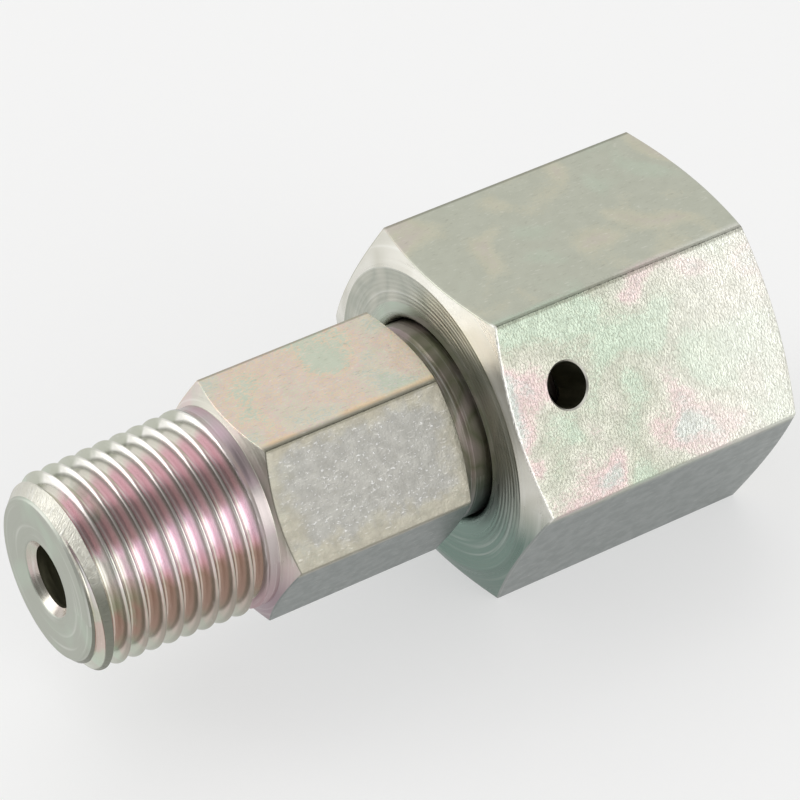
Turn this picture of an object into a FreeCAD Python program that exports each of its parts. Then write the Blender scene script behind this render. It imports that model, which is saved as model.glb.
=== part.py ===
import FreeCAD, Part
import math
import os

# Hydraulic standpipe adapter: a turned stud with a taper pipe thread at one end and a 24 degree
# cone nose at the other, and a captive swivel nut held on the stud's neck by a bent wire.
# X runs along the axis from the stud's tip to the nut's open end, Z is up, and the fitting lies
# on one flat of the nut. The origin is the centre of the stud's tip face. All sizes are in mm.

# Form that both threads share: half angle between the flanks, and how far a thread cut runs past the
# crests, as a share of the height at which its neighbouring turns would meet
thread_flank_angle = 30.0
thread_cut_overrun = 0.5

# Taper pipe thread, 1/8 inch with 27 threads to the inch. The first crest is measured at +Y. The full
# depth ends a setback before the crests do, and from there the groove rises out of the shank.
tip_face_diameter = 8.15
thread_tip_diameter = 9.88
thread_taper = 1 / 16
thread_pitch = 0.9407
thread_crest_share = 0.07
thread_root_share = 0.07
thread_first_crest = 0.32
thread_length = 9.05
thread_depth_setback = 0.15
thread_run_out = 0.55
shank_length = 9.91

# Flow bore, broken at both ends
bore_diameter = 3.2
bore_edge_break = 0.4

# Body hexagon for an 11 mm spanner
body_across_flats = 10.85
body_hex_length = 10.5
body_face_diameter = 10.24
body_front_chamfer_angle = 23.0
body_rear_chamfer_angle = 21.0
body_clocking = 2.2

# Neck that the nut turns on
neck_diameter = 10.2
neck_relief_depth = 0.15
neck_relief_length = 0.45
running_clearance = 0.09

# Cone nose with its seal ring
cone_angle = 24.0
cone_large_diameter = 8.6
cone_length = 6.3
nose_recess = 1.2
nose_edge_break = 0.3
seal_section = 1.5
seal_groove_diameter = 4.4
seal_groove_width = 1.9
seal_setback = 3.0
seal_seat_clearance = 0.02

# Swivel nut for a 17 mm spanner, with an M14 x 1.5 thread
nut_across_flats = 16.95
nut_length = 15.7
nut_gap = 1.27
nut_face_diameter = 15.94
nut_front_chamfer_angle = 20.0
nut_rear_chamfer_angle = 18.0
nut_mouth_radius = 0.5
nut_thread_diameter = 14.0
nut_thread_pitch = 1.5
nut_thread_crest_share = 1 / 4
nut_thread_root_share = 1 / 8
nut_thread_length = 7.0
nut_relief_diameter = 14.3
nut_relief_length = 0.8
nut_shoulder_angle = 60.0

# Retaining wire, fed in through a hole in one flat of the nut
wire_diameter = 2.0
wire_groove_clearance = 0.04
wire_setback = 3.5
wire_bend_radius = 1.2
wire_hook_depth = 2.45
wire_pocket_clearance = 0.10
wire_seat_lead_in = 12.0
wire_end_angle = 16.0
wire_hole_diameter = 2.35
wire_hole_offset = 0.92
wire_hole_edge_break = 0.12
wire_hole_flat = 150.0

# Places along the axis
hex_start = shank_length
hex_end = hex_start + body_hex_length
nut_start = hex_end + nut_gap
nut_end = nut_start + nut_length
wire_x = nut_start + wire_setback
nose_tip = nut_end - nose_recess
cone_start = nose_tip - cone_length
seal_x = nose_tip - seal_setback

# Radii that follow from the sizes above
bore_radius = bore_diameter / 2
neck_radius = neck_diameter / 2
nut_bore_radius = neck_radius + running_clearance
wire_radius = wire_diameter / 2
wire_ring_radius = neck_radius + running_clearance / 2
seal_ring_radius = seal_groove_diameter / 2 + seal_seat_clearance + seal_section / 2

AXIS = FreeCAD.Vector(1, 0, 0)
ORIGIN = FreeCAD.Vector(0, 0, 0)


def slope(angle_deg):
    return math.tan(math.radians(angle_deg))


def around(radius, angle_deg, x=0.0):
    """Point at an angle about the axis, counted from +Y towards +Z."""
    angle = math.radians(angle_deg)
    return FreeCAD.Vector(x, radius * math.cos(angle), radius * math.sin(angle))


def thread_depth(pitch, crest_share, root_share):
    """Depth of a thread whose crest and root are flats of these shares of its pitch."""
    return pitch * (1 - crest_share - root_share) / 2 / slope(thread_flank_angle)


def nut_thread_bore_radius():
    """Radius over the crests of the nut's thread, to which the nut is bored."""
    depth = thread_depth(nut_thread_pitch, nut_thread_crest_share, nut_thread_root_share)
    return nut_thread_diameter / 2 - depth


def turned(profile):
    """Solid of revolution about the axis from (x, radius) corners."""
    points = [FreeCAD.Vector(x, 0, radius) for x, radius in profile]
    outline = Part.makePolygon(points + points[:1])
    return Part.Face(outline).revolve(ORIGIN, AXIS, 360)


def hexagon(across_flats, start, end, turn=0.0):
    """Hexagonal bar with a flat facing up, turned about the axis."""
    corner_radius = across_flats / math.sqrt(3)
    corners = [around(corner_radius, turn + 60 * number, start) for number in range(7)]
    return Part.Face(Part.makePolygon(corners)).extrude(AXIS * (end - start))


def chamfered_hexagon(across_flats, start, end, face_diameter, front_angle, rear_angle, turn=0.0):
    """Hexagon whose corners are turned off by a cone at each end.

    The cones' slanted lines are drawn as splines, so the curves they cut on the flats are splines too.
    """
    face_radius = face_diameter / 2
    reach = across_flats - face_radius
    corners = [
        FreeCAD.Vector(start, 0, 0),
        FreeCAD.Vector(start, 0, face_radius),
        FreeCAD.Vector(start + reach * slope(front_angle), 0, across_flats),
        FreeCAD.Vector(end - reach * slope(rear_angle), 0, across_flats),
        FreeCAD.Vector(end, 0, face_radius),
        FreeCAD.Vector(end, 0, 0),
    ]
    edges = Part.makePolygon(corners + corners[:1]).Edges
    for slanted in (1, 3):
        line = Part.BSplineCurve(corners[slanted : slanted + 2], None, None, False, 1)
        edges[slanted] = line.toShape()
    cones = Part.Face(Part.Wire(edges)).revolve(ORIGIN, AXIS, 360)
    return hexagon(across_flats, start, end, turn).common(cones)


def helix(start, length, radius, pitch, widening, turn=0.0):
    """Edges, one a turn, of a right-hand helix whose radius grows by a share of its length."""
    wire = Part.makeLongHelix(pitch, length, radius, math.degrees(math.atan(widening)))
    z_to_x = FreeCAD.Rotation(FreeCAD.Vector(1, 1, 1), 120)
    wire.Placement = FreeCAD.Placement(AXIS * start, FreeCAD.Rotation(AXIS, turn) * z_to_x)
    return wire.Edges


def solid_along(paths):
    """Solid whose corners follow edges that run side by side, closed by a flat face at each end."""
    faces = []
    for path, neighbour in zip(paths, paths[1:] + paths[:1]):
        faces += [Part.makeRuledSurface(edge, other) for edge, other in zip(path, neighbour)]
    starts = [path[0].valueAt(path[0].FirstParameter) for path in paths]
    ends = [path[-1].valueAt(path[-1].LastParameter) for path in paths]
    faces += [Part.Face(Part.makePolygon(points + points[:1])) for points in (starts, ends)]
    shell = Part.Shell(faces)
    shell.sewShape()
    solid = Part.Solid(shell)
    if solid.Volume < 0:
        solid.reverse()
    return solid


def groove_corners(pitch, crest_share, root_share, side):
    """Corners of the cut for a thread's groove, as shifts along the axis and rises over the crests.

    The side is 1 for an outer thread and -1 for an inner one.
    """
    depth = thread_depth(pitch, crest_share, root_share)
    overrun = thread_cut_overrun * crest_share * pitch / 2 / slope(thread_flank_angle)
    half_root = root_share * pitch / 2
    half_mouth = half_root + (depth + overrun) * slope(thread_flank_angle)
    return [
        (-half_mouth, side * overrun),
        (-half_root, -side * depth),
        (half_root, -side * depth),
        (half_mouth, side * overrun),
    ]


def thread_groove(start, end, crest_radius, widening, pitch, corners, run_out=0.0):
    """Cut for a thread's groove whose middle goes from start to end along the axis.

    The crests have crest_radius where x is 0. Over the run-out past the end the cut leaves the crests.
    """
    full_rise = corners[0][1] - corners[1][1]
    paths = []
    for shift, rise in corners:
        radius = crest_radius + (start + shift) * widening + rise
        path = helix(start + shift, end - start, radius, pitch, widening)
        if run_out:
            radius = crest_radius + (end + shift) * widening + rise
            steeper = widening + full_rise / run_out
            path = path + helix(end + shift, run_out, radius, pitch, steeper, 360 * (end - start) / pitch)
        paths.append(path)
    return solid_along(paths)


def wire_ring(section_radius):
    """Full ring about the axis at the retaining wire's place."""
    return Part.makeTorus(wire_ring_radius, section_radius, FreeCAD.Vector(wire_x, 0, 0), AXIS)


def wire_hole_angle():
    """Angle at which the wire meets its hole, which is drilled beside the middle of the flat."""
    return wire_hole_flat - math.degrees(math.asin(wire_hole_offset / wire_ring_radius))


def hook_path(lead_in_deg, extra_depth):
    """Centre line of the wire's hooked end: along the ring, round a bend and in towards the axis."""
    inner = wire_ring_radius - wire_bend_radius
    turn = math.degrees(math.asin(wire_bend_radius / inner))
    hook_angle = wire_hole_angle() + wire_end_angle
    bend_angle = hook_angle + turn
    centre = around(inner, bend_angle, wire_x)
    arc_start = around(wire_ring_radius, bend_angle, wire_x)
    arc_end = around(inner * math.cos(math.radians(turn)), hook_angle, wire_x)
    middle = ((arc_start - centre).normalize() + (arc_end - centre).normalize()).normalize()
    bend = Part.Arc(arc_start, centre + middle * wire_bend_radius, arc_end)
    hook_end = around(wire_ring_radius - wire_hook_depth - extra_depth, hook_angle, wire_x)
    lead_in = Part.Arc(
        around(wire_ring_radius, bend_angle + lead_in_deg, wire_x),
        around(wire_ring_radius, bend_angle + lead_in_deg / 2, wire_x),
        arc_start,
    )
    return Part.Wire([lead_in.toShape(), bend.toShape(), Part.LineSegment(arc_end, hook_end).toShape()])


def round_rod(path, radius):
    """Round rod along a path that starts along the wire's ring."""
    edge = path.Edges[0]
    start = edge.valueAt(edge.FirstParameter)
    along = edge.tangentAt(edge.FirstParameter)
    section = Part.Wire([Part.makeCircle(radius, start, along)])
    return path.makePipeShell([section], True, True)


def stud_core():
    """Everything on the stud that is turned, before the bore, the thread and the grooves."""
    thread_end_radius = (thread_tip_diameter + thread_length * thread_taper) / 2
    tip_radius = tip_face_diameter / 2
    chamfer_length = (thread_tip_diameter / 2 - tip_radius) / (1 - thread_taper / 2)
    face_radius = body_face_diameter / 2
    relief_radius = neck_radius - neck_relief_depth
    cone_radius = cone_large_diameter / 2
    tip_cone_radius = cone_radius - cone_length * slope(cone_angle / 2)
    return turned(
        [
            (0, 0),
            (0, tip_radius),
            (chamfer_length, tip_radius + chamfer_length),
            (thread_length, thread_end_radius),
            (thread_length + abs(thread_end_radius - face_radius), face_radius),
            (hex_start + body_hex_length / 2, face_radius),
            (hex_start + body_hex_length / 2, relief_radius),
            (hex_end + neck_relief_length, relief_radius),
            (hex_end + neck_relief_length + neck_relief_depth, neck_radius),
            (cone_start - (neck_radius - cone_radius), neck_radius),
            (cone_start, cone_radius),
            (nose_tip - nose_edge_break, tip_cone_radius + nose_edge_break * slope(cone_angle / 2)),
            (nose_tip, tip_cone_radius - nose_edge_break),
            (nose_tip, 0),
        ]
    )


def flow_bore():
    """Through bore with a broken edge at the tip and at the nose."""
    wide = bore_radius + bore_edge_break
    return turned(
        [
            (0, 0),
            (0, wide),
            (bore_edge_break, bore_radius),
            (nose_tip - bore_edge_break, bore_radius),
            (nose_tip, wide),
            (nose_tip, 0),
        ]
    )


def taper_thread_groove():
    """Groove of the taper thread, from outside the tip to its run-out before the hexagon."""
    return thread_groove(
        thread_first_crest - thread_pitch / 2 - thread_pitch,
        thread_length - thread_depth_setback,
        thread_tip_diameter / 2,
        thread_taper / 2,
        thread_pitch,
        groove_corners(thread_pitch, thread_crest_share, thread_root_share, 1),
        thread_run_out,
    )


def seal_groove():
    """Square groove round the cone for the seal ring."""
    start = seal_x - seal_groove_width / 2
    end = seal_x + seal_groove_width / 2
    return turned(
        [
            (start, seal_groove_diameter / 2),
            (start, cone_large_diameter / 2),
            (end, cone_large_diameter / 2),
            (end, seal_groove_diameter / 2),
        ]
    )


def stud_body():
    body_hexagon = chamfered_hexagon(
        body_across_flats,
        hex_start,
        hex_end,
        body_face_diameter,
        body_front_chamfer_angle,
        body_rear_chamfer_angle,
        body_clocking,
    )
    body = stud_core().fuse(body_hexagon).removeSplitter()
    hook_room = hook_path(wire_seat_lead_in, wire_pocket_clearance)
    hook_seat = round_rod(hook_room, wire_radius + wire_pocket_clearance)
    wire_groove = wire_ring(wire_radius + wire_groove_clearance)
    for cutter in (flow_bore(), seal_groove(), wire_groove, hook_seat, taper_thread_groove()):
        body = body.cut(cutter)
    return body


def nut_inside():
    """Room inside the nut: mouth, neck bore, shoulder, thread run-out and bored thread."""
    mouth_centre = FreeCAD.Vector(nut_start + nut_mouth_radius, 0, nut_bore_radius + nut_mouth_radius)
    mouth_start = FreeCAD.Vector(nut_start, 0, nut_bore_radius + nut_mouth_radius)
    mouth_end = FreeCAD.Vector(nut_start + nut_mouth_radius, 0, nut_bore_radius)
    halfway = FreeCAD.Vector(-1, 0, -1).normalize() * nut_mouth_radius
    mouth = Part.Arc(mouth_start, mouth_centre + halfway, mouth_end).toShape()
    relief_radius = nut_relief_diameter / 2
    thread_bore_radius = nut_thread_bore_radius()
    relief_end = nut_end - nut_thread_length
    thread_start = relief_end + relief_radius - thread_bore_radius
    relief_start = relief_end - nut_relief_length
    shoulder = relief_start - (relief_radius - nut_bore_radius) / slope(nut_shoulder_angle)
    countersink = (relief_radius - thread_bore_radius) / slope(nut_shoulder_angle)
    corners = [
        (shoulder, nut_bore_radius),
        (relief_start, relief_radius),
        (relief_end, relief_radius),
        (thread_start, thread_bore_radius),
        (nut_end - countersink, thread_bore_radius),
        (nut_end, relief_radius),
        (nut_end, 0),
        (nut_start, 0),
    ]
    points = [mouth_end] + [FreeCAD.Vector(x, 0, radius) for x, radius in corners] + [mouth_start]
    outline = Part.Wire([mouth] + Part.makePolygon(points).Edges)
    return Part.Face(outline).revolve(ORIGIN, AXIS, 360)


def nut_thread_groove():
    """Groove of the nut's thread, from its run-out groove to outside the open end."""
    return thread_groove(
        nut_end - nut_thread_length - nut_relief_length / 2,
        nut_end + nut_thread_pitch,
        nut_thread_bore_radius(),
        0,
        nut_thread_pitch,
        groove_corners(nut_thread_pitch, nut_thread_crest_share, nut_thread_root_share, -1),
    )


def wire_hole():
    """Hole square to one flat and beside its middle, with a broken edge, down to the neck bore."""
    outward = around(1, wire_hole_flat)
    sideways = around(1, wire_hole_flat - 90)
    foot = FreeCAD.Vector(wire_x, 0, 0) + sideways * wire_hole_offset
    radius = wire_hole_diameter / 2
    flat = nut_across_flats / 2
    shaft = Part.makeCylinder(radius, flat, foot + outward * nut_bore_radius / 2, outward)
    rim = foot + outward * (flat - wire_hole_edge_break)
    wide = radius + 2 * wire_hole_edge_break
    return shaft.fuse(Part.makeCone(radius, wide, 2 * wire_hole_edge_break, rim, outward))


def swivel_nut():
    nut = chamfered_hexagon(
        nut_across_flats,
        nut_start,
        nut_end,
        nut_face_diameter,
        nut_front_chamfer_angle,
        nut_rear_chamfer_angle,
    )
    wire_groove = wire_ring(wire_radius + wire_groove_clearance)
    for cutter in (nut_inside(), wire_groove, wire_hole(), nut_thread_groove()):
        nut = nut.cut(cutter)
    return nut


def retaining_wire():
    """Wire bent round the neck, from just past its hole to the hook that turns with the stud."""
    inner = wire_ring_radius - wire_bend_radius
    turn = math.degrees(math.asin(wire_bend_radius / inner))
    covered = 360 - 2 * wire_end_angle - turn
    return round_rod(hook_path(covered, 0), wire_radius)


def cone_seal_ring():
    return Part.makeTorus(seal_ring_radius, seal_section / 2, FreeCAD.Vector(seal_x, 0, 0), AXIS)


def main():
    os.makedirs("parts", exist_ok=True)
    nodes = {
        "stud_body": stud_body(),
        "swivel_nut": swivel_nut(),
        "retaining_wire": retaining_wire(),
        "cone_seal_ring": cone_seal_ring(),
    }
    for name, shape in nodes.items():
        solid = shape.Solids[0]
        print(name, "solids", len(shape.Solids), "valid", shape.isValid(), "volume", round(solid.Volume, 2))
        shape.exportStep("parts/" + name + ".step")


main()
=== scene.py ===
import math

import bmesh
import bpy
import numpy as np
from mathutils import Matrix, Vector


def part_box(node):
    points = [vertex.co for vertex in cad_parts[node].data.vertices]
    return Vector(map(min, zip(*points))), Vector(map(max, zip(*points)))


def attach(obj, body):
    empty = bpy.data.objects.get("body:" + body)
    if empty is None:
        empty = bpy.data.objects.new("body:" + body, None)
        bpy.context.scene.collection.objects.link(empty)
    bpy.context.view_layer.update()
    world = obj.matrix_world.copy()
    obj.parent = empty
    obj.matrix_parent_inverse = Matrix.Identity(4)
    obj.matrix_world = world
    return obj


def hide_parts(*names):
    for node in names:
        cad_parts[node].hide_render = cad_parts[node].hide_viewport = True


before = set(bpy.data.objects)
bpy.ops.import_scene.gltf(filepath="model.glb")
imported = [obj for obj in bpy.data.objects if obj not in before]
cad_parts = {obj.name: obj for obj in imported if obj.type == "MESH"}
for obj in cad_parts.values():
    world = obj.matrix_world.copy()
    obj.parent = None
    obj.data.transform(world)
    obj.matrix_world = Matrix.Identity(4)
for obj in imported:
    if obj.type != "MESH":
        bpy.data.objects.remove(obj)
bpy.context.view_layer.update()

bl_info = {
    "name": "Swivel Pipe Adapter",
    "version": (1, 1, 0),
    "blender": (4, 5, 0),
    "location": "3D View > Sidebar > Fitting",
    "description": "Dresses a plated pipe adapter: taper thread, spanner hexagon and captive swivel nut",
    "category": "Object",
}

MM = 0.001
FULL_TURN = 2 * math.pi
SECTOR = FULL_TURN / 6
SHARP_ANGLE = math.radians(38)

# Points nearer than the first are one point. The second is the step between close rows of points.
MERGE_DISTANCE = 2e-7
TINY = 0.03 * MM

# Roundings: most of a run that one may take up, and how straight a corner may be
LONGEST_REACH = 0.45
STRAIGHTEST = 0.9999

# Angle from a hexagon's corner at which the even steps round the axis begin, and the number of those angles
EVEN_START = math.radians(3)
EVEN_ANGLES = 11

# Rows of points from the middle of a thread's crest to its edge, and from there to the root
CREST_ROWS = 6
FLANK_ROWS = 9

# Steps of the half-round grooves, of the rounded mouth and of the hook's bend, and rows in the bore
GROOVE_STEPS = 20
MOUTH_STEPS = 8
BEND_STEPS = 8
BORE_ROWS = 12

# Values between which nearly all of a noise lies
NOISE_LOW, NOISE_HIGH = 0.3, 0.7

# Turning marks, drawn streaks and scratches: their light and dark tones
BRIGHT_MARK = (0.95, 0.95, 0.92)
DARK_MARK = (0.2, 0.2, 0.17)
BRIGHT_STREAK = (0.95, 0.93, 0.88)
DARK_STREAK = (0.28, 0.27, 0.22)
SCRATCH = (0.95, 0.92, 0.92)

# Dark and bright grain of the drawn wire, and the bloom on the rubber
DARK_DRAWN = (0.42, 0.43, 0.44)
BRIGHT_DRAWN = (0.58, 0.58, 0.57)
BLOOM = (0.05, 0.05, 0.052)

# Etched field, in millimetres from its middle: where it begins and where it is full, along and across its
# flat, how far it lies off the flat's middle, and how far its border strays
ETCHED_LENGTH = (5.0, 3.6)
ETCHED_WIDTH = (2.9, 1.9)
ETCHED_OFFSET = -0.2
ETCHED_WOBBLE = 0.5

# Rays on the tip's chamfer: how close they lie round the axis, how much they lean and how soon they break
RAY_CLOSENESS, RAY_LEAN, RAY_BREAK = 46.0, 6.0, 1.6

# Places that the frame gives: the ends of the two turned pieces and the middles of the ring-shaped ones
STUD_START, STUD_END = (corner.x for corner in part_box("stud_body"))
NUT_START, NUT_END = (corner.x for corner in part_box("swivel_nut"))
NUT_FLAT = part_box("swivel_nut")[1].z
WIRE_X = sum(corner.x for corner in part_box("retaining_wire")) / 2
SEAL_X = sum(corner.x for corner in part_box("cone_seal_ring")) / 2


# Kinds of setting


def length(name, description, millimetres):
    return bpy.props.FloatProperty(
        name=name,
        description=description,
        default=millimetres * MM,
        unit="LENGTH",
        subtype="DISTANCE",
        precision=6,
    )


def angle(name, description, degrees):
    return bpy.props.FloatProperty(
        name=name,
        description=description,
        default=math.radians(degrees),
        unit="ROTATION",
        subtype="ANGLE",
    )


def share(name, description, value):
    return bpy.props.FloatProperty(
        name=name, description=description, default=value, min=0, subtype="FACTOR"
    )


def colour(name, description, red, green, blue):
    """Colour setting from a screen colour of 0 to 255 each."""
    linear = tuple(((value / 255 + 0.055) / 1.055) ** 2.4 for value in (red, green, blue))
    return bpy.props.FloatVectorProperty(
        name=name, description=description, default=linear, min=0, max=1, size=3, subtype="COLOR"
    )


# Sizes and colours that a user may change


class StudSizes(bpy.types.PropertyGroup):
    tip_radius: length("Tip radius", "Radius of the flat tip face", 4.075)
    tip_edge: length("Tip edge", "Rounding of the edge round the tip face", 0.06)
    crest_radius: length("Crest radius", "Radius over the crests at the tip", 4.94)
    taper: share("Taper", "Growth of the crest radius with length", 1 / 32)
    pitch: length("Pitch", "Distance from crest to crest", 0.9407)
    depth: length("Thread depth", "Height of the thread from root to crest", 0.7006)
    flank_angle: angle("Flank angle", "Half the angle between the flanks of the taper thread", 30)
    crest_flat: length("Crest flat", "Width of the flat left on each crest", 0.066)
    bulge: share("Bulge", "Power that the flanks swell with towards the crests", 1.2)
    root_softness: share("Root softness", "Rounding of the roots, as a share of a flank", 0.2)
    first_crest: length("First crest", "Place along the axis of a crest at the angle zero", 0.32)
    crest_end: length("Crest end", "Where the crests end and the turned band begins", 9.05)
    crest_fade: length("Crest fade", "Length over which the crests sink into the band", 0.28)
    full_depth_end: length("Full depth end", "Where the groove starts to run out", 8.9)
    run_out: length("Run-out", "Length over which the groove rises out of the band", 0.55)
    band_radius: length("Band radius", "Radius of the turned band before the hexagon", 5.12)
    hex_start: length("Hexagon start", "Front end of the hexagon", 9.91)
    hex_end: length("Hexagon end", "Rear end of the hexagon", 20.41)
    hex_flat: length("Hexagon flat", "Distance of the flats from the axis", 5.425)
    hex_turn: angle("Hexagon turn", "Angle of the first corner", 2.2)
    hex_edge: length("Hexagon edge", "Rounding of the long edges", 0.13)
    front_chamfer: angle("Front chamfer", "Slope of the front chamfer", 23)
    rear_chamfer: angle("Rear chamfer", "Slope of the rear chamfer", 21)
    neck_radius: length("Neck radius", "Radius of the neck that the nut turns on", 5.1)
    neck_relief: length("Neck relief", "Depth of the relief behind the hexagon", 0.15)
    relief_length: length("Relief length", "Length of the relief behind the hexagon", 0.45)
    cone_radius: length("Cone radius", "Radius where the nose's cone starts", 4.3)
    cone_length: length("Cone length", "Length of the nose's cone", 6.3)
    cone_slope: angle("Cone slope", "Half angle of the nose's cone", 12)
    nose_break: length("Nose edge break", "Width of the bevel round the nose", 0.3)
    bore_radius: length("Bore radius", "Radius of the through bore", 1.6)
    bore_break: length("Bore edge break", "Width of the bevel at the ends of the bore", 0.4)
    seal_groove_radius: length("Seal groove radius", "Radius at the bottom of the seal's groove", 2.2)
    seal_groove_width: length("Seal groove width", "Width of the seal's groove", 1.9)
    small_edge: length("Small edges", "Rounding of the turned edges", 0.05)


class NutSizes(bpy.types.PropertyGroup):
    face_radius: length("Face radius", "Radius of the turned end faces", 7.97)
    front_chamfer: angle("Front chamfer", "Slope of the front chamfer", 20)
    rear_chamfer: angle("Rear chamfer", "Slope of the rear chamfer", 18)
    edge: length("Edge", "Rounding of the long edges", 0.1)
    chamfer_edge: length("Chamfer edge", "Rounding where the chamfers meet the flats", 0.07)
    small_edge: length("Small edges", "Rounding of the turned edges", 0.05)
    bore_radius: length("Bore radius", "Radius of the bore that runs on the neck", 5.19)
    mouth_radius: length("Mouth radius", "Rounding of the bore's front edge", 0.5)
    smooth_width: length("Smooth width", "Width of the smooth face round the mouth", 0.45)
    relief_radius: length("Relief radius", "Radius of the run-out groove behind the thread", 7.15)
    relief_length: length("Relief length", "Length of the run-out groove behind the thread", 0.8)
    shoulder_slope: angle("Shoulder slope", "Slope of the shoulder and the countersink", 60)
    flank_angle: angle("Flank angle", "Half the angle between the flanks of the inner thread", 30)
    crest_radius: length("Crest radius", "Radius over the crests of the inner thread", 6.188)
    crest_flat: length("Crest flat", "Width of the crests of the inner thread", 0.375)
    bulge: share("Bulge", "Power that the flanks swell with towards the crests", 1.1)
    root_softness: share("Root softness", "Rounding of the roots, as a share of a flank", 0.12)
    thread_depth: length("Thread depth", "Height of the inner thread", 0.812)
    thread_pitch: length("Thread pitch", "Pitch of the inner thread", 1.5)
    thread_length: length("Thread length", "Length of the inner thread with its countersink", 7.0)
    ring_pitch: length("Ring pitch", "Distance between the turning rings on the front face", 0.25)
    ring_depth: length("Ring depth", "Depth of the turning rings on the front face", 0.014)
    hole_radius: length("Wire hole radius", "Half the height of the hole that the wire is fed through", 1.17)
    hole_oval: share("Wire hole oval", "Width of the hole along the axis, as a share of its height", 0.9)
    hole_offset: length("Wire hole offset", "Distance of the hole from the middle of its flat", 0.92)
    hole_break: length("Wire hole edge break", "Width of the broken rim of the hole", 0.09)
    hole_angle: angle("Wire hole angle", "Angle of the flat with the hole", 150)


class WireSizes(bpy.types.PropertyGroup):
    radius: length("Wire radius", "Radius of the retaining wire", 1.0)
    ring_radius: length("Ring radius", "Radius of the wire's centre line about the axis", 5.145)
    groove_radius: length("Groove radius", "Radius of the half-round grooves for the wire", 1.04)
    bend_radius: length("Bend radius", "Radius of the bend into the hook", 1.2)
    hook_depth: length("Hook depth", "Depth of the hook's end under the ring's centre line", 2.45)
    hook_turn: angle("Hook turn", "Angle from the wire hole to the hook", 16)
    pocket_clearance: length("Pocket clearance", "Room round the hook in its pocket", 0.1)
    lead_in: angle("Lead-in", "Angle over which the pocket follows the ring", 12)


class FinishColours(bpy.types.PropertyGroup):
    zinc: colour("Zinc", "Plain plated steel", 188, 190, 175)
    pale: colour("Pale", "Plated steel with a thinner film", 212, 210, 198)
    cream: colour("Cream", "Warm film on the stud's flats", 216, 210, 193)
    sand: colour("Sand", "Smooth rim of the stud's etched flat", 156, 153, 140)
    etched: colour("Etched", "Grey, speckled middle of the stud's etched flat", 153, 153, 151)
    # Dusk is painted shade on the lower flats, and, darkened, on the neck's lower side
    dusk_shade: colour("Dusk", "Greyer film on the lower flats", 142, 147, 145)
    # Teal is painted shade, with a green tint, for the lower side of the turned faces
    teal_shade: colour("Teal", "Green film on the lower side of the turned faces", 130, 152, 142)
    # Frost is also the painted highlight on top of the thread and beside its crests
    frost: colour("Frost", "Nearly white film on top of the thread", 243, 241, 234)
    rose: colour("Rose", "Salmon pink in the upper grooves of the thread", 238, 213, 217)
    # Wine is painted shade further down the thread
    wine_shade: colour("Wine", "Darker pink further down the thread", 221, 202, 202)
    # Petal is the painted highlight on the side of the thread
    petal_highlight: colour("Petal", "Palest pink, on the side of the thread", 244, 227, 234)
    # Clay is painted shade low on the thread
    clay_shade: colour("Clay", "Brown pink low on the thread", 206, 188, 178)
    # Moss is green film with painted shade in the roots of the thread
    moss_film_and_shade: colour("Moss", "Dull green in the roots of the thread", 170, 168, 142)
    # Ash is painted shade: behind the crests, low on the thread and on the lower side of the tip chamfer
    ash_shade: colour("Ash", "Dark line behind the crests of the thread", 118, 120, 108)
    blush: colour("Blush", "Pink tint of the passivation", 228, 192, 198)
    mauve: colour("Mauve", "Deep pink tint on the turned band", 206, 180, 190)
    leaf: colour("Leaf", "Green tint of the passivation", 190, 210, 190)
    sky: colour("Sky", "Blue tint of the passivation", 200, 206, 206)
    straw: colour("Straw", "Yellow tint of the passivation", 226, 214, 182)
    amber: colour("Amber", "Orange tint, strongest along an edge of the stud's hexagon", 240, 208, 164)
    # Olive is a film tint, and also painted shade in the pebble hollows, along the upper hexagon edges, in
    # the bores and on the neck
    olive_tint_and_shade: colour("Olive", "Brown green tint of worn edges and hollows", 160, 158, 134)
    slate: colour("Slate", "Grey of turned surfaces", 176, 179, 168)
    rubber: colour("Rubber", "Seal ring", 30, 30, 31)
    floor: colour("Floor", "Floor that the fitting lies on", 248, 248, 247)


# Turned skins: closed meshes made of rows of points round the axis


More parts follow.
